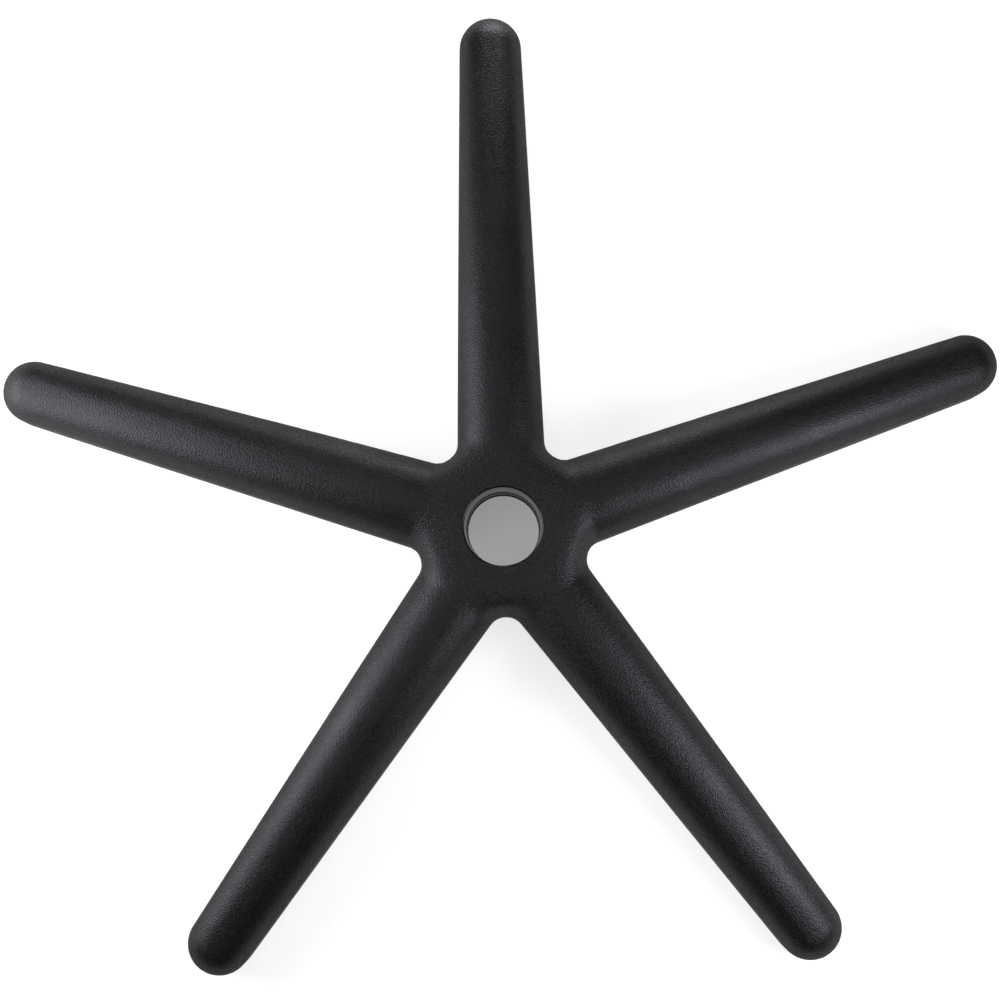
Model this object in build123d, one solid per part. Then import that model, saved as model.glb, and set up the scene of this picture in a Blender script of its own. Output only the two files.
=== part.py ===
from build123d import *

import os
from collections import namedtuple
from math import acos, atan2, cos, degrees, hypot, radians, sin, sqrt, tan

# Plan of the star, in millimetres and degrees
ARM_COUNT = 5
FIRST_ARM_ANGLE = 90.0  # the first arm points along +Y
ARM_REACH = 350.0  # hub axis to the end of an arm
GAUGE_X = 100.0  # distance from the hub axis where the arm's width is given
GAUGE_HALF_WIDTH = 27.4
TIP_RADIUS = 21.0  # half width at the tip, which is round in plan
CROTCH_RADIUS = 13.0  # plan radius where two arms meet
SKIRT_FLARE = 0.6  # how far the moulding draft spreads the skirt at the floor
LAND_HALF_WIDTH = 2.0  # level strip along the ridge of an arm

# Heights above the floor
HUB_HEIGHT = 60.0
RIDGE_GUIDE_HEIGHT = 47.0  # pulls the ridge's curve, two thirds of the way out
TIP_HEIGHT = 38.0  # ridge where the domed tip begins
RIM_AT_HUB = 20.0  # lower edge of the skirt near the hub
RIM_AT_TIP = 2.5
RIM_LEVEL_RADIUS = 60.0  # the rim is level out to here
RIM_LEVEL_TIP = 18.0  # and again from this far inside the tip's centre
HUB_FOOT = 8.0  # lower end of the hub tube

# Walls and ribs
WALL = 4.0
RIB = 2.8
RIB_RAISE = 2.0  # how far the ribs stop short of the rim
HUB_TUBE_WALL = 7.0
HUB_RING_GAP = 11.0  # between the hub tube and the ring rib around it
LATTICE_GAP = 15.0  # between the ring rib and the first crossed ribs
LATTICE_BAYS = 6

# Gas lift bore
BORE_MOUTH_RADIUS = 25.0
BORE_TAPER = 1.0 / 20.0  # loss of diameter for each unit of depth
MOUTH_ROUND = 1.2
FOOT_CHAMFER = 1.0

# Caster sockets
SOCKET_RADIUS = 5.5
SOCKET_DEPTH = 25.0
SOCKET_CHAMFER = 0.5
BOSS_WALL = 6.0
BOSS_CHAMFER = 1.0

CUT_MARGIN = 5.0  # how far cutting shapes run past the part
QUARTER_ARC_WEIGHT = sqrt(0.5)

SECTOR_HALF = radians(180.0 / ARM_COUNT)
TIP_CENTRE_X = ARM_REACH - SKIRT_FLARE - TIP_RADIUS
HUB_TUBE_RADIUS = BORE_MOUTH_RADIUS + HUB_TUBE_WALL
RING_INNER_RADIUS = HUB_TUBE_RADIUS + HUB_RING_GAP
BOSS_RADIUS = SOCKET_RADIUS + BOSS_WALL
STANDING = (Align.CENTER, Align.CENTER, Align.MIN)

# Control rows of one stretch of half an arm: its outline, the inner edge of its
# arched section, the ridge height over each, and the arch's own height
Stretch = namedtuple("Stretch", "outline land outline_top land_top arch weights")


def edge_angle():
    """Angle by which an arm's edge closes in on its midline."""
    run = TIP_CENTRE_X - GAUGE_X
    return acos(TIP_RADIUS / hypot(GAUGE_HALF_WIDTH, run)) - atan2(run, GAUGE_HALF_WIDTH)


def edge_distance(inset):
    """Distance from the hub axis to the line of an arm's edge, drawn in by inset."""
    return TIP_RADIUS + TIP_CENTRE_X * sin(edge_angle()) - inset


def edge_y(x, inset):
    """Half width of an arm at x, drawn in by inset."""
    return (edge_distance(inset) - x * sin(edge_angle())) / cos(edge_angle())


def crotch_outline(inset):
    """Arc from the middle of a crotch to the start of the arm's straight edge."""
    opening = SECTOR_HALF + edge_angle()
    radius = CROTCH_RADIUS + inset
    centre = (edge_distance(inset) + radius) / sin(opening)
    turn = radians(90.0) - opening
    root_x = centre * cos(SECTOR_HALF) - radius * sin(edge_angle())
    corner_x = root_x - radius * tan(turn / 2) * cos(edge_angle())
    middle = centre - radius
    points = [
        (middle * cos(SECTOR_HALF), middle * sin(SECTOR_HALF)),
        (corner_x, edge_y(corner_x, inset)),
        (root_x, edge_y(root_x, inset)),
    ]
    return points, [1.0, cos(turn / 2), 1.0]


def tip_outline(inset):
    """Arc from the end of the arm's straight edge to the far end of the tip."""
    radius = TIP_RADIUS - inset
    turn = radians(90.0) - edge_angle()
    start_x = TIP_CENTRE_X + radius * sin(edge_angle())
    points = [
        (start_x, edge_y(start_x, inset)),
        (TIP_CENTRE_X + radius, radius * tan(turn / 2)),
        (TIP_CENTRE_X + radius, 0.0),
    ]
    return points, [1.0, cos(turn / 2), 1.0]


def arm_outline(inset):
    """Straight edge between the two arcs, in three equal steps."""
    start_x = crotch_outline(inset)[0][-1][0]
    end_x = tip_outline(inset)[0][0][0]
    steps = [start_x + (end_x - start_x) * step / 3 for step in range(4)]
    return [(x, edge_y(x, inset)) for x in steps], [1.0] * len(steps)


def arch_height(x, inset):
    """Height of the arched section at x: as high as it is wide, so a half round."""
    return edge_y(x, inset) - LAND_HALF_WIDTH


def crotch_stretch(inset):
    """Rows where the hub's flat top rounds over into a crotch."""
    outline, weights = crotch_outline(inset)
    corner_x, root_x = outline[1][0], outline[2][0]
    reach = corner_x * cos(SECTOR_HALF) + LAND_HALF_WIDTH * sin(SECTOR_HALF)
    land = [
        (reach * cos(SECTOR_HALF), reach * sin(SECTOR_HALF)),
        (corner_x, LAND_HALF_WIDTH),
        (root_x, LAND_HALF_WIDTH),
    ]
    top = [HUB_HEIGHT - inset] * 3
    arch = [arch_height(x, inset) for x in (corner_x, corner_x, root_x)]
    return Stretch(outline, land, top, top, arch, weights)


def arm_stretch(inset):
    """Rows along the straight arm, whose ridge leaves the hub level and then falls."""
    outline, weights = arm_outline(inset)
    land = [(x, LAND_HALF_WIDTH) for x, _ in outline]
    heights = (HUB_HEIGHT, HUB_HEIGHT, RIDGE_GUIDE_HEIGHT, TIP_HEIGHT)
    top = [height - inset for height in heights]
    arch = [arch_height(x, inset) for x, _ in outline]
    return Stretch(outline, land, top, top, arch, weights)


def tip_stretch(inset):
    """Rows of the domed tip, under the straight continuation of the ridge."""
    outline, weights = tip_outline(inset)
    arm = arm_stretch(inset)
    (guide_x, _), (start_x, _) = arm.outline[-2:]
    slope = (arm.outline_top[-1] - arm.outline_top[-2]) / (start_x - guide_x)
    end_x = start_x + LAND_HALF_WIDTH
    land = [(start_x, LAND_HALF_WIDTH), (end_x, LAND_HALF_WIDTH), (end_x, 0.0)]
    outline_top = [arm.outline_top[-1] + slope * (x - start_x) for x, _ in outline]
    land_top = [arm.outline_top[-1] + slope * (x - start_x) for x, _ in land]
    arch = [arch_height(x, inset) for x, _ in outline]
    return Stretch(outline, land, outline_top, land_top, arch, weights)


def raised(points, heights, side):
    """Plan points on one side of the arm, each at its own height."""
    return [(x, side * y, z) for (x, y), z in zip(points, heights)]


def flank_faces(stretch, foot, side):
    """Arched face and upright skirt of one stretch, and its edge rows."""
    springing = [top - arch for top, arch in zip(stretch.outline_top, stretch.arch)]
    rows = [
        raised(stretch.outline, springing, side),
        raised(stretch.outline, stretch.outline_top, side),
        raised(stretch.land, stretch.land_top, side),
    ]
    over = [weight * QUARTER_ARC_WEIGHT for weight in stretch.weights]
    arched = Face.make_bezier_surface(rows, [stretch.weights, over, stretch.weights])
    skirt = Face.make_bezier_surface([foot, rows[0]], [stretch.weights] * 2)
    return [arched, skirt], Edge.make_bezier(*rows[2], weights=stretch.weights)


def arm_faces(inset, floor):
    """Faces of one arm, with its share of the hub's edge and of the floor's edge."""
    parts = [crotch_stretch(inset), arm_stretch(inset), tip_stretch(inset)]
    floor_parts = [f(inset - SKIRT_FLARE) for f in (crotch_outline, arm_outline, tip_outline)]
    faces, hub_edges, floor_edges, cap_edges = [], [], [], []
    for side in (1, -1):
        land_edges = []
        for stretch, (floor_points, weights) in zip(parts, floor_parts):
            foot = raised(floor_points, [floor] * len(floor_points), side)
            flank, land_edge = flank_faces(stretch, foot, side)
            faces += flank
            land_edges.append(land_edge)
            floor_edges.append(Edge.make_bezier(*foot, weights=weights))
        hub_edges.append(land_edges[0])
        cap_edges.append(land_edges[2])
    arm = parts[1]
    faces.append(Face.make_bezier_surface([raised(arm.land, arm.land_top, s) for s in (1, -1)]))
    across_hub = [raised(arm.land[:1], arm.land_top[:1], side)[0] for side in (1, -1)]
    across_cap = [raised(arm.land[-1:], arm.land_top[-1:], side)[0] for side in (1, -1)]
    hub_edges.append(Edge.make_line(*across_hub))
    cap_edges.append(Edge.make_line(*across_cap))
    faces.append(Face(Wire(cap_edges)))
    return faces, hub_edges, floor_edges


def arm_turns():
    """Rotations that place one arm's features on every arm."""
    return [Rot(0, 0, FIRST_ARM_ANGLE + index * 360.0 / ARM_COUNT) for index in range(ARM_COUNT)]


def star_form(inset, floor):
    """Closed star with half round arms, every wall and its top drawn in by inset."""
    faces, hub_edges, floor_edges = arm_faces(inset, floor)
    turns = arm_turns()
    closing = [Face(Wire([t * e for t in turns for e in edges])) for edges in (hub_edges, floor_edges)]
    return Solid(Shell([turn * face for turn in turns for face in faces] + closing))


def rim_clearance(lift):
    """Space under the skirt's lower edge: high at the hub and low at the tips."""
    inner, outer = RIM_LEVEL_RADIUS, TIP_CENTRE_X - RIM_LEVEL_TIP
    high, low = RIM_AT_HUB + lift, RIM_AT_TIP + lift
    third = (outer - inner) / 3
    guides = [(inner + third, 0, high), (outer - third, 0, low)]
    curve = Edge.make_bezier((inner, 0, high), *guides, (outer, 0, low))
    beyond, below = ARM_REACH + CUT_MARGIN, -CUT_MARGIN
    corners = [(outer, low), (beyond, low), (beyond, below), (0, below), (0, high), (inner, high)]
    points = [(x, 0, z) for x, z in corners]
    straight = [Edge.make_line(a, b) for a, b in zip(points, points[1:])]
    return revolve(Face(Wire([curve] + straight)), Axis.Z)


def rib_between(start, end):
    """Plan of a straight rib between two points."""
    run_x, run_y = end[0] - start[0], end[1] - start[1]
    middle = Pos((start[0] + end[0]) / 2, (start[1] + end[1]) / 2)
    return middle * Rot(0, 0, degrees(atan2(run_y, run_x))) * Rectangle(hypot(run_x, run_y), RIB)


def lattice_plan():
    """Plan of the crossed ribs between the hub's ring and the socket boss."""
    start = RING_INNER_RADIUS + RIB + LATTICE_GAP
    bay = (TIP_CENTRE_X - BOSS_RADIUS - start) / LATTICE_BAYS
    ribs = []
    for index in range(LATTICE_BAYS):
        near, far = start + index * bay, start + (index + 1) * bay
        ribs += [rib_between((near, s * edge_y(near, 0)), (far, -s * edge_y(far, 0))) for s in (1, -1)]
    return ribs


def arm_rib_plan():
    """Plan of one arm's ribs, with the rib to the crotch beside it."""
    inner = HUB_TUBE_RADIUS - HUB_TUBE_WALL / 2
    crotch = crotch_outline(0)[0][0]
    spine = rib_between((inner, 0), (TIP_CENTRE_X + TIP_RADIUS, 0))
    beside = rib_between((inner * cos(SECTOR_HALF), inner * sin(SECTOR_HALF)), crotch)
    across = rib_between((TIP_CENTRE_X, -TIP_RADIUS), (TIP_CENTRE_X, TIP_RADIUS))
    return Sketch() + [spine, beside, across] + lattice_plan()


def ribs():
    """Every rib under the star, ending halfway into its walls and roof."""
    plan = Circle(RING_INNER_RADIUS + RIB) - Circle(RING_INNER_RADIUS)
    arm = arm_rib_plan()
    plan += [turn * arm for turn in arm_turns()]
    tall = extrude(plan, amount=HUB_HEIGHT)
    return (tall & star_form(WALL / 2, 0.0)) - rim_clearance(RIB_RAISE)


def chamfered_post(radius, height, size):
    """Round post standing on the floor, with its lower edge chamfered."""
    post = Cylinder(radius, height, align=STANDING)
    return chamfer(post.edges().sort_by(Axis.Z)[0], size)


def hub_tube():
    """Thick tube under the hub that carries the gas lift's taper."""
    height = HUB_HEIGHT - WALL / 2 - HUB_FOOT
    return Pos(0, 0, HUB_FOOT) * chamfered_post(HUB_TUBE_RADIUS, height, FOOT_CHAMFER)


def socket_bosses():
    """Round bosses inside the tips; the base rests on their lower faces."""
    boss = chamfered_post(BOSS_RADIUS, TIP_HEIGHT - WALL, BOSS_CHAMFER)
    return [turn * Pos(TIP_CENTRE_X, 0, 0) * boss for turn in arm_turns()]


def bore_cut():
    """Tapered hole for the gas lift, with a rounded mouth and a chamfered foot."""
    round_z = HUB_HEIGHT - MOUTH_ROUND
    foot_z = HUB_FOOT + FOOT_CHAMFER
    foot_radius = BORE_MOUTH_RADIUS - (round_z - foot_z) * BORE_TAPER / 2
    open_radius = foot_radius + FOOT_CHAMFER + CUT_MARGIN
    top_radius = BORE_MOUTH_RADIUS + MOUTH_ROUND
    wall = Polyline(
        (0, HUB_FOOT - CUT_MARGIN),
        (open_radius, HUB_FOOT - CUT_MARGIN),
        (foot_radius, foot_z),
        (BORE_MOUTH_RADIUS, round_z),
    )
    mouth = CenterArc((top_radius, round_z), MOUTH_ROUND, 180, -90)
    above = Polyline(
        (top_radius, HUB_HEIGHT),
        (top_radius, HUB_HEIGHT + CUT_MARGIN),
        (0, HUB_HEIGHT + CUT_MARGIN),
        (0, HUB_FOOT - CUT_MARGIN),
    )
    return revolve(Rot(90, 0, 0) * make_face(wall + mouth + above), Axis.Z)


def socket_cuts():
    """Blind holes for the caster stems, open at the floor."""
    hole = Cylinder(SOCKET_RADIUS, SOCKET_DEPTH, align=STANDING)
    hole += Cone(SOCKET_RADIUS + SOCKET_CHAMFER, SOCKET_RADIUS, SOCKET_CHAMFER, align=STANDING)
    return [turn * Pos(TIP_CENTRE_X, 0, 0) * hole for turn in arm_turns()]


def star_base():
    """The whole moulding."""
    shell = star_form(0.0, 0.0) - star_form(WALL, -CUT_MARGIN) - rim_clearance(0.0)
    body = shell + [ribs(), hub_tube(), *socket_bosses()]
    return body - [bore_cut(), *socket_cuts()]


os.makedirs("parts", exist_ok=True)
export_step(star_base(), "parts/star_base.step")
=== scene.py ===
"""Office chair base in black grained nylon: its skin, its finish, the floor, the lamps and the camera."""
import math

import bmesh
import bpy
from bpy.props import FloatProperty, FloatVectorProperty, IntProperty, PointerProperty
from mathutils import Matrix, Vector


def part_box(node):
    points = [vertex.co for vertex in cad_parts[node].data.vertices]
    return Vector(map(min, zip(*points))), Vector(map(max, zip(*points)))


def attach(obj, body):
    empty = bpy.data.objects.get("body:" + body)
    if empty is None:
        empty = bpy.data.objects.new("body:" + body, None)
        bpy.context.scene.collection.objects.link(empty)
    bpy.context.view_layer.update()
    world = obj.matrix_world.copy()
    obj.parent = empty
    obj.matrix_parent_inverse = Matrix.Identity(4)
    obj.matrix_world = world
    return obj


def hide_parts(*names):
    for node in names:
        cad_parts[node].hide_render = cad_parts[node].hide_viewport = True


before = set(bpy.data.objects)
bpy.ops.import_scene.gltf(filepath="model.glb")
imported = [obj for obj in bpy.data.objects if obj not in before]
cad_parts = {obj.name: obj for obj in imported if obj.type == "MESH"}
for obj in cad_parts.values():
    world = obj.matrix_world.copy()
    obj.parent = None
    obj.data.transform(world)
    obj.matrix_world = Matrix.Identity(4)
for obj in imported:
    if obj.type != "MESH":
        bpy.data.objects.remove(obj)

bl_info = {
    "name": "Office chair base",
    "version": (1, 0, 0),
    "blender": (4, 5, 0),
    "location": "3D View > Sidebar > Chair base",
    "description": "Gives the five-armed chair base its grained nylon and builds its stage",
    "category": "Object",
}

MOULDING = "star_base"

# The skin: the solid's loose triangles are merged, and the hub's top is divided and softened.
MERGE_DISTANCE = 1e-6
HUB_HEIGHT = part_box(MOULDING)[1].z
FLAT_MARGIN = 10 * MERGE_DISTANCE
TOP_RINGS = 8
SHOULDER_DEPTH = 0.012
SMOOTHING_SHARE = 0.5

# Bearings of the arms: the back arm points along +Y, and a crotch lies half a sector to its right.
ARMS = 5
BACK_ARM = math.radians(90.0)
HALF_SECTOR = math.radians(180.0 / ARMS)
FIRST_CROTCH = BACK_ARM - HALF_SECTOR

# Distances from the hub's axis over which one finish goes over into the next.
BORE_MOUTH = (0.0259, 0.0264)
HUB_GRAIN_EDGE = (0.048, 0.062)

# Heights in the bore above the floor, each with its roughness. The gas lift polishes it from POLISH_START up.
ROUGH = 0.9
WORN = 0.4
BORE_BANDS = ((0.018, ROUGH), (0.022, WORN), (0.027, WORN), (0.029, ROUGH), (0.033, ROUGH))
POLISH_START = 0.035

# Gloss of the nylon: its refraction, its strength (a plain plastic has 0.5) and a slight violet tint.
NYLON_IOR = 1.5
NYLON_GLOSS = 0.3
GLOSS_TINT = (0.925, 0.905, 1.0, 1.0)

# Patterns: how pebbles, flecks and clouds differ in size, height and softness.
PEBBLE_SMOOTHNESS = 0.5
DRIFT_SHARE = 0.6
FLECK_HEIGHT_SHARE = 0.25
BORE_BUMP_SHARE = 0.1
CLOUD_SCALE = 22.0
CLOUD_DETAIL = 4.0

# Spans of a pattern over which a finish changes.
NOISE_SPAN = (0.3, 0.7)
FLECK_SPAN = (0.35, 0.65)
PEBBLE_SIDE = (0.15, 0.75)
RIM_SPAN = (0.25, 0.75)

# What a pattern adds to the roughness, and what it multiplies the colour by.
CLOUD_ROUGHNESS = (-0.04, 0.04)
PEBBLE_ROUGHNESS = (0.08, -0.03)
CLOUD_TONE = (0.94, 1.06)
# The pebbles' tone is painted shade: darker in the grain's valleys, lighter on their tops.
PEBBLE_PAINTED_SHADE = (0.7, 1.2)
FLECK_TONE = (0.1, 1.9)

# The stage: the floor ends so far off that its edge is a straight horizon.
WHITE = (1.0, 1.0, 1.0, 1.0)
FLOOR_REACH = 60.0
# Distances from the hub's axis over which the floor's painted shade under the hub goes over into its open
# glow.
PAINTED_HUB_SHADE = (0.03, 0.05)
LAMP_TARGET = Vector((0.0, 0.0, 0.03))
LAMP_HEIGHT_SHARE = 0.8
SENSOR_WIDTH = 36.0
LENS = 48.11
CAMERA_SHIFT = (-0.0036, 0.0320)


def past_shoulder(point, distance):
    """How far a point lies past the line where the hub's flat top rounds over into the nearest crotch."""
    bearing = math.atan2(point.y, point.x)
    off_crotch = (bearing - FIRST_CROTCH + HALF_SECTOR) % (2 * HALF_SECTOR) - HALF_SECTOR
    return math.hypot(point.x, point.y) * math.cos(off_crotch) - distance


def divide_top(shape):
    """Divide the hub's flat top into rings of small triangles."""
    flat_height = HUB_HEIGHT - FLAT_MARGIN
    flat = {face for face in shape.faces if min(vert.co.z for vert in face.verts) > flat_height}
    across = [edge for edge in shape.edges if all(face in flat for face in edge.link_faces)]
    bmesh.ops.subdivide_edges(shape, edges=across, cuts=TOP_RINGS)
    bmesh.ops.triangulate(shape, faces=[face for face in shape.faces if len(face.verts) > 3])


def soften_shoulders(shape, settings):
    """Let the hub's flat top turn softly into its roundings."""
    lowest = HUB_HEIGHT - SHOULDER_DEPTH
    top = [vert for vert in shape.verts if vert.co.z > lowest and vert.normal.z > 0.0]
    offsets = {vert: abs(past_shoulder(vert.co, settings.shoulder_distance)) for vert in top}
    for step in range(settings.shoulder_rounds):
        reach = settings.shoulder_width * (1.0 - step / settings.shoulder_rounds)
        bmesh.ops.smooth_vert(
            shape,
            verts=[vert for vert in top if offsets[vert] < reach],
            factor=SMOOTHING_SHARE,
            use_axis_x=True,
            use_axis_y=True,
            use_axis_z=True,
        )


def smooth_skin(source, name, settings):
    """A copy of a solid's mesh as one closed skin, shaded smooth except at its real edges."""
    shape = bmesh.new()
    shape.from_mesh(source)
    bmesh.ops.remove_doubles(shape, verts=shape.verts, dist=MERGE_DISTANCE)
    divide_top(shape)
    soften_shoulders(shape, settings)
    for edge in shape.edges:
        if not edge.is_manifold:
            raise RuntimeError("the skin is open at an edge")
        edge.smooth = edge.calc_face_angle() < settings.sharp_angle
    for face in shape.faces:
        face.smooth = True
    mesh = bpy.data.meshes.new(name)
    shape.to_mesh(mesh)
    shape.free()
    # The solid's own normals come along with its mesh, and would keep its facets in the shading.
    mesh.attributes.remove(mesh.attributes["custom_normal"])
    return mesh


class NylonSettings(bpy.types.PropertyGroup):
    """Colour and grain of the moulded nylon."""

    colour: FloatVectorProperty(
        name="Colour",
        description="Colour of the nylon",
        subtype="COLOR",
        size=3,
        min=0.0,
        max=1.0,
        default=(0.0041, 0.0040, 0.0045),
    )
    roughness: FloatProperty(
        name="Roughness",
        description="Mean roughness of the grained skin",
        subtype="FACTOR",
        min=0.0,
        max=1.0,
        default=0.44,
    )
    pebble_size: FloatProperty(
        name="Pebble size",
        description="Distance between the pebbles of the mould's grain",
        subtype="DISTANCE",
        unit="LENGTH",
        precision=5,
        min=0.0001,
        default=0.00115,
    )
    pebble_height: FloatProperty(
        name="Pebble height",
        description="Height of the pebbles of the mould's grain",
        subtype="DISTANCE",
        unit="LENGTH",
        precision=6,
        min=0.0,
        default=0.000120,
    )
    hub_depth: FloatProperty(
        name="Depth on the hub",
        description="Height of the pebbles on the hub's top as a multiple of their height on the arms",
        min=0.0,
        default=1.6,
    )
    fleck_size: FloatProperty(
        name="Fleck size",
        description="Distance between the fine flecks on the pebbles",
        subtype="DISTANCE",
        unit="LENGTH",
        precision=5,
        min=0.0001,
        default=0.00095,
    )
    fleck_spread: FloatProperty(
        name="Fleck spread",
        description="How far the roughness of a fleck lies from the mean, to each side",
        subtype="FACTOR",
        min=0.0,
        max=0.4,
        default=0.07,
    )
    rim_roughness: FloatProperty(
        name="Rim roughness",
        description="Roughness that the grain adds where the skin is seen at a low angle",
        subtype="FACTOR",
        min=0.0,
        max=1.0,
        default=0.26,
    )
    sharp_angle: FloatProperty(
        name="Sharp angle",
        description="Angle from which an edge of the moulding is shaded as a real edge",
        subtype="ANGLE",
        unit="ROTATION",
        min=0.0,
        default=math.radians(33.0),
    )
    bore_roughness: FloatProperty(
        name="Bore roughness",
        description="Roughness of the smooth taper that holds the gas lift",
        subtype="FACTOR",
        min=0.0,
        max=1.0,
        default=0.25,
    )
    shoulder_distance: FloatProperty(
        name="Shoulder distance",
        description="Distance from the hub's axis to the line where its flat top rounds over into a crotch",
        subtype="DISTANCE",
        unit="LENGTH",
        precision=4,
        min=0.0,
        default=0.0415,
    )
    shoulder_width: FloatProperty(
        name="Shoulder width",
        description="How far to each side of its line the flat top turns softly into the rounding",
        subtype="DISTANCE",
        unit="LENGTH",
        precision=4,
        min=0.001,
        default=0.012,
    )
    shoulder_rounds: IntProperty(
        name="Shoulder rounds",
        description="Number of times that the shoulder is smoothed, over less and less of its width",
        min=0,
        max=100,
        default=40,
    )


class StageSettings(bpy.types.PropertyGroup):
    """Floor, lamps and camera."""

    floor_colour: FloatVectorProperty(
        name="Floor colour",
        description="Colour of the floor",
        subtype="COLOR",
        size=3,
        min=0.0,
        max=1.0,
        default=(0.42, 0.42, 0.42),
    )
    floor_glow: FloatProperty(
        name="Floor glow",
        description="Light that the floor adds to its own image, so that it reads as white paper",
        min=0.0,
        max=1.0,
        default=0.76,
    )
    # Less glow under the hub than on the open floor: painted shade on the floor there.
    glow_in_painted_hub_shade: FloatProperty(
        name="Glow under the hub",
        description="Light that the floor adds to its own image in the shade under the hub",
        min=0.0,
        max=1.0,
        default=0.268,
    )
    room_light: FloatProperty(
        name="Room light",
        description="Brightness of the room around the stage",
        min=0.0,
        max=1.0,
        default=0.05,
    )
    left_power: FloatProperty(
        name="Left lamp",
        description="Power of the low soft lamp on the left",
        subtype="POWER",
        unit="POWER",
        min=0.0,
        default=5.1,
    )
    right_power: FloatProperty(
        name="Right lamp",
        description="Power of the low soft lamp on the right",
        subtype="POWER",
        unit="POWER",
        min=0.0,
        default=3.1,
    )
    back_power: FloatProperty(
        name="Back lamp",
        description="Power of the low soft lamp behind the base",
        subtype="POWER",
        unit="POWER",
        min=0.0,
        default=2.0,
    )
    top_power: FloatProperty(
        name="Top lamp",
        description="Power of the wide soft lamp overhead",
        subtype="POWER",
        unit="POWER",
        min=0.0,
        default=3.2,
    )
    camera_distance: FloatProperty(
        name="Camera distance",
        description="Distance of the camera from the foot of the hub",
        subtype="DISTANCE",
        unit="LENGTH",
        min=0.1,
        default=0.9107,
    )
    camera_tilt: FloatVectorProperty(
        name="Camera tilt",
        description="Lean of the camera about the image's two axes, and its turn about the line of sight",
        subtype="EULER",
        size=3,
        default=(math.radians(-3.496), math.radians(-0.364), math.radians(1.589)),
    )


def add_node(tree, kind, inputs=(), **values):
    """A new node in a tree, with its own values and its inputs set or linked."""
    node = tree.nodes.new(kind)
    for name, value in values.items():
        setattr(node, name, value)
    for name, value in dict(inputs).items():
        if isinstance(value, bpy.types.NodeSocket):
            tree.links.new(value, node.inputs[name])
        else:
            node.inputs[name].default_value = value
    return node


def maths(tree, operation, first, second=0.0, third=0.0, clamp=False):
    """The result of one sum on up to three values."""
    values = {0: first, 1: second, 2: third}
    return add_node(tree, "ShaderNodeMath", values, operation=operation, use_clamp=clamp).outputs[0]


def vector_maths(tree, operation, inputs):
    """The outputs of one sum on vectors."""
    return add_node(tree, "ShaderNodeVectorMath", inputs, operation=operation).outputs


def noise(tree, place, scale, detail=1.0):
    """The outputs of soft noise with so many features to the metre."""
    return add_node(tree, "ShaderNodeTexNoise", {"Vector": place, "Scale": scale, "Detail": detail}).outputs


def ramp_between(tree, value, span, results):
    """A value that goes from the first result to the second while another goes over a span."""
    low, high = span
    at_low, at_high = results
    inputs = {"Value": value, "From Min": low, "From Max": high, "To Min": at_low, "To Max": at_high}
    return add_node(tree, "ShaderNodeMapRange", inputs, interpolation_type="SMOOTHSTEP").outputs["Result"]


def empty_material(name):
    """A new material with nothing in it but its output."""
    material = bpy.data.materials.new(name)
    material.use_nodes = True
    tree = material.node_tree
    tree.nodes.clear()
    return material, tree, tree.nodes.new("ShaderNodeOutputMaterial")


def distance_from_axis(tree, place):
    """How far a place lies from the hub's axis."""
    level = vector_maths(tree, "MULTIPLY", {0: place, 1: (1.0, 1.0, 0.0)})["Vector"]
    return vector_maths(tree, "LENGTH", {0: level})["Value"]


def bore_finish(tree, height, polished):
    """Roughness up the bore: two rough bands near its foot, and above them the gas lift's polish."""
    ramp = add_node(tree, "ShaderNodeValToRGB", {0: maths(tree, "DIVIDE", height, HUB_HEIGHT)})
    stops = ramp.color_ramp.elements
    foot, mouth = stops
    foot.color = (ROUGH, ROUGH, ROUGH, 1.0)
    mouth.color = (polished, polished, polished, 1.0)
    for level, roughness in (*BORE_BANDS, (POLISH_START, polished)):
        stops.new(level / HUB_HEIGHT).color = (roughness, roughness, roughness, 1.0)
    return ramp.outputs["Color"]


def pebble_pattern(tree, place, size):
    """Uneven pebbles, 1 on their tops and 0 in the valleys between them."""
    frequency = 1.0 / size
    drift = noise(tree, place, frequency * DRIFT_SHARE)["Color"]
    shift = vector_maths(tree, "SCALE", {0: drift, "Scale": size})["Vector"]
    warped = vector_maths(tree, "ADD", {0: place, 1: shift})["Vector"]
    inputs = {"Vector": warped, "Scale": frequency, "Smoothness": PEBBLE_SMOOTHNESS}
    cells = add_node(tree, "ShaderNodeTexVoronoi", inputs, feature="SMOOTH_F1")
    return ramp_between(tree, cells.outputs["Distance"], PEBBLE_SIDE, (1.0, 0.0))


def grain_normal(tree, skin, from_axis, pebble, fine, settings):
    """Bump of the grain, which is deeper on the hub's top than on the arms and faint in the bore."""
    depth = ramp_between(tree, from_axis, HUB_GRAIN_EDGE, (settings.hub_depth, 1.0))
    height = maths(tree, "MULTIPLY_ADD", fine, FLECK_HEIGHT_SHARE, pebble)
    bump = add_node(tree, "ShaderNodeBump", {
        "Height": maths(tree, "MULTIPLY", height, depth),
        "Distance": settings.pebble_height,
        "Strength": maths(tree, "MULTIPLY_ADD", skin, 1.0 - BORE_BUMP_SHARE, BORE_BUMP_SHARE),
    })
    return bump.outputs["Normal"]


def grain_roughness(tree, pebble, fine, cloud, settings):
    """Roughness of the grained skin, which also rises where it is seen at a low angle."""
    patches = ramp_between(tree, cloud, NOISE_SPAN, CLOUD_ROUGHNESS)
    valleys = ramp_between(tree, pebble, (0.0, 1.0), PEBBLE_ROUGHNESS)
    flecks = ramp_between(tree, fine, NOISE_SPAN, (-settings.fleck_spread, settings.fleck_spread))
    facing = add_node(tree, "ShaderNodeLayerWeight", {"Blend": 0.5}).outputs["Facing"]
    rim = ramp_between(tree, facing, RIM_SPAN, (0.0, settings.rim_roughness))
    unevenness = maths(tree, "ADD", maths(tree, "ADD", patches, valleys), maths(tree, "ADD", flecks, rim))
    return maths(tree, "ADD", unevenness, settings.roughness)


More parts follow.
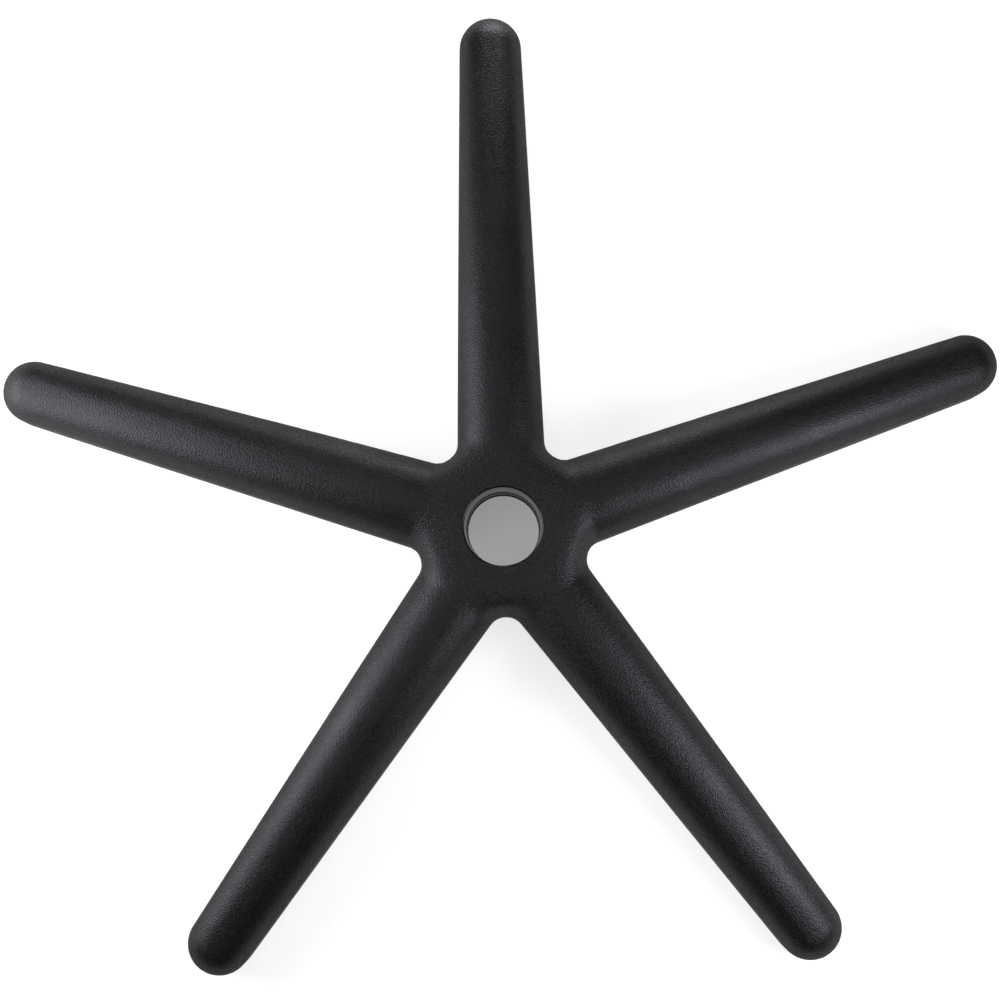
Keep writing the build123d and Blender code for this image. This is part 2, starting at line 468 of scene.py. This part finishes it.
def grain_colour(tree, pebble, fine, cloud, settings):
    """Colour of the nylon, flecked, with painted shade that is darker in the grain's valleys than on its
    pebbles' tops.
    """
    # Painted shade: the colour is darker in the grain's valleys.
    valley_shade = ramp_between(tree, pebble, (0.0, 1.0), PEBBLE_PAINTED_SHADE)
    fleck = ramp_between(tree, fine, FLECK_SPAN, FLECK_TONE)
    mottle = ramp_between(tree, cloud, NOISE_SPAN, CLOUD_TONE)
    shade = maths(tree, "MULTIPLY", maths(tree, "MULTIPLY", valley_shade, fleck), mottle)
    return vector_maths(tree, "SCALE", {0: settings.colour, "Scale": shade})["Vector"]


def grained_nylon(settings):
    """Black nylon with the pebbled grain of the mould, and a smooth bore."""
    material, tree, output = empty_material("black_nylon_grained")
    place = add_node(tree, "ShaderNodeTexCoord").outputs["Object"]
    from_axis = distance_from_axis(tree, place)
    height = add_node(tree, "ShaderNodeSeparateXYZ", {0: place}).outputs["Z"]
    skin = ramp_between(tree, from_axis, BORE_MOUTH, (0.0, 1.0))
    pebble = pebble_pattern(tree, place, settings.pebble_size)
    fine = noise(tree, place, 1.0 / settings.fleck_size)["Fac"]
    cloud = noise(tree, place, CLOUD_SCALE, CLOUD_DETAIL)["Fac"]
    roughness = add_node(tree, "ShaderNodeMix", {
        "Factor": skin,
        "A": bore_finish(tree, height, settings.bore_roughness),
        "B": grain_roughness(tree, pebble, fine, cloud, settings),
    })
    surface = add_node(tree, "ShaderNodeBsdfPrincipled", {
        "Base Color": grain_colour(tree, pebble, fine, cloud, settings),
        "Roughness": roughness.outputs["Result"],
        "IOR": NYLON_IOR,
        "Specular IOR Level": NYLON_GLOSS,
        "Specular Tint": GLOSS_TINT,
        "Normal": grain_normal(tree, skin, from_axis, pebble, fine, settings),
    })
    tree.links.new(surface.outputs["BSDF"], output.inputs["Surface"])
    return material


def floor_paper(settings):
    """Pale matt floor that reads as white and keeps the base's shadow, with painted shade under the hub; it
    is clear from below.
    """
    material, tree, output = empty_material("floor_paper")
    paper = add_node(tree, "ShaderNodeBsdfDiffuse", {"Color": (*settings.floor_colour, 1.0)})
    path = add_node(tree, "ShaderNodeLightPath").outputs
    mirrored = maths(tree, "ADD", path["Is Glossy Ray"], path["Is Transmission Ray"])
    seen = maths(tree, "ADD", path["Is Camera Ray"], mirrored, clamp=True)
    place = add_node(tree, "ShaderNodeTexCoord").outputs["Object"]
    from_axis = distance_from_axis(tree, place)
    # The glow is lower under the hub, which paints shade on the floor beneath it.
    strength = ramp_between(tree, from_axis, PAINTED_HUB_SHADE, (settings.glow_in_painted_hub_shade, settings.floor_glow))
    glow = add_node(tree, "ShaderNodeEmission", {
        "Color": WHITE,
        "Strength": maths(tree, "MULTIPLY", seen, strength),
    })
    lit = add_node(tree, "ShaderNodeAddShader", {0: paper.outputs[0], 1: glow.outputs[0]})
    clear = add_node(tree, "ShaderNodeBsdfTransparent")
    side = add_node(tree, "ShaderNodeNewGeometry").outputs["Backfacing"]
    surface = add_node(tree, "ShaderNodeMixShader", {0: side, 1: lit.outputs[0], 2: clear.outputs[0]})
    tree.links.new(surface.outputs[0], output.inputs["Surface"])
    return material


def add_floor(settings):
    """A wide flat floor under the base."""
    mesh = bpy.data.meshes.new("floor")
    shape = bmesh.new()
    bmesh.ops.create_grid(shape, x_segments=1, y_segments=1, size=FLOOR_REACH)
    shape.to_mesh(mesh)
    shape.free()
    floor = bpy.data.objects.new("floor", mesh)
    bpy.context.scene.collection.objects.link(floor)
    mesh.materials.append(floor_paper(settings))


def add_lamp(name, power, bearing, elevation, distance, width):
    """A soft rectangular lamp that points at the hub from a bearing and elevation in degrees."""
    data = bpy.data.lights.new(name, "AREA")
    data.shape = "RECTANGLE"
    data.size = width
    data.size_y = width * LAMP_HEIGHT_SHARE
    data.energy = power
    lamp = bpy.data.objects.new(name, data)
    turn = Matrix.Rotation(math.radians(bearing), 3, "Z") @ Matrix.Rotation(math.radians(-elevation), 3, "Y")
    outwards = turn @ Vector((1.0, 0.0, 0.0))
    lamp.location = LAMP_TARGET + outwards * distance
    lamp.rotation_euler = outwards.to_track_quat("Z", "Y").to_euler()
    lamp.visible_camera = False
    bpy.context.scene.collection.objects.link(lamp)


def add_camera(settings):
    """The camera above the hub, at the photograph's angle."""
    data = bpy.data.cameras.new("camera")
    data.sensor_width = SENSOR_WIDTH
    data.lens = LENS
    data.shift_x, data.shift_y = CAMERA_SHIFT
    camera = bpy.data.objects.new("camera", data)
    lean_x, lean_y, turn = settings.camera_tilt
    lean = Matrix.Rotation(lean_y, 4, "Y") @ Matrix.Rotation(lean_x, 4, "X") @ Matrix.Rotation(turn, 4, "Z")
    camera.matrix_world = lean.transposed() @ Matrix.Translation((0.0, 0.0, settings.camera_distance))
    bpy.context.scene.collection.objects.link(camera)
    bpy.context.scene.camera = camera


def set_room(settings):
    """An even dim room around the stage."""
    world = bpy.data.worlds.new("room")
    world.use_nodes = True
    background = world.node_tree.nodes["Background"]
    background.inputs["Color"].default_value = WHITE
    background.inputs["Strength"].default_value = settings.room_light
    bpy.context.scene.world = world


class CHAIRBASE_OT_build_moulding(bpy.types.Operator):
    """Build the moulding as one smooth skin in grained nylon"""

    bl_idname = "chairbase.build_moulding"
    bl_label = "Build the moulding"

    def execute(self, context):
        settings = context.scene.chairbase_nylon
        mesh = smooth_skin(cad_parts[MOULDING].data, "moulding", settings)
        mesh.materials.clear()
        mesh.materials.append(grained_nylon(settings))
        moulding = bpy.data.objects.new("moulding", mesh)
        context.scene.collection.objects.link(moulding)
        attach(moulding, "root")
        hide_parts(MOULDING)
        return {"FINISHED"}


class CHAIRBASE_OT_build_stage(bpy.types.Operator):
    """Build the floor, the lamps and the camera"""

    bl_idname = "chairbase.build_stage"
    bl_label = "Build the stage"

    def execute(self, context):
        settings = context.scene.chairbase_stage
        add_floor(settings)
        set_room(settings)
        add_lamp("left_lamp", settings.left_power, bearing=174.5, elevation=23.0, distance=0.60, width=0.50)
        add_lamp("right_lamp", settings.right_power, bearing=-23.0, elevation=36.5, distance=0.60, width=0.33)
        add_lamp("back_lamp", settings.back_power, bearing=85.0, elevation=11.0, distance=0.70, width=0.27)
        add_lamp("top_lamp", settings.top_power, bearing=135.0, elevation=78.0, distance=1.60, width=0.80)
        add_camera(settings)
        context.scene.view_settings.view_transform = "Standard"
        return {"FINISHED"}


class CHAIRBASE_PT_panel(bpy.types.Panel):
    """Sizes, colours and steps of the chair base"""

    bl_idname = "CHAIRBASE_PT_panel"
    bl_label = "Chair base"
    bl_space_type = "VIEW_3D"
    bl_region_type = "UI"
    bl_category = "Chair base"

    def draw(self, context):
        layout = self.layout
        for settings in (context.scene.chairbase_nylon, context.scene.chairbase_stage):
            box = layout.box()
            for name in settings.bl_rna.properties.keys():
                if name not in {"rna_type", "name"}:
                    box.prop(settings, name)
        for operator in OPERATORS:
            layout.operator(operator.bl_idname)


OPERATORS = (CHAIRBASE_OT_build_moulding, CHAIRBASE_OT_build_stage)
CLASSES = (NylonSettings, StageSettings, *OPERATORS, CHAIRBASE_PT_panel)


def register():
    for cls in CLASSES:
        bpy.utils.register_class(cls)
    bpy.types.Scene.chairbase_nylon = PointerProperty(type=NylonSettings)
    bpy.types.Scene.chairbase_stage = PointerProperty(type=StageSettings)


def unregister():
    del bpy.types.Scene.chairbase_stage
    del bpy.types.Scene.chairbase_nylon
    for cls in reversed(CLASSES):
        bpy.utils.unregister_class(cls)


def main():
    """Dress the base and build its stage."""
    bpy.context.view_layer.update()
    register()
    bpy.ops.chairbase.build_moulding()
    bpy.ops.chairbase.build_stage()
    bpy.context.view_layer.update()


if __name__ == "__main__":
    main()
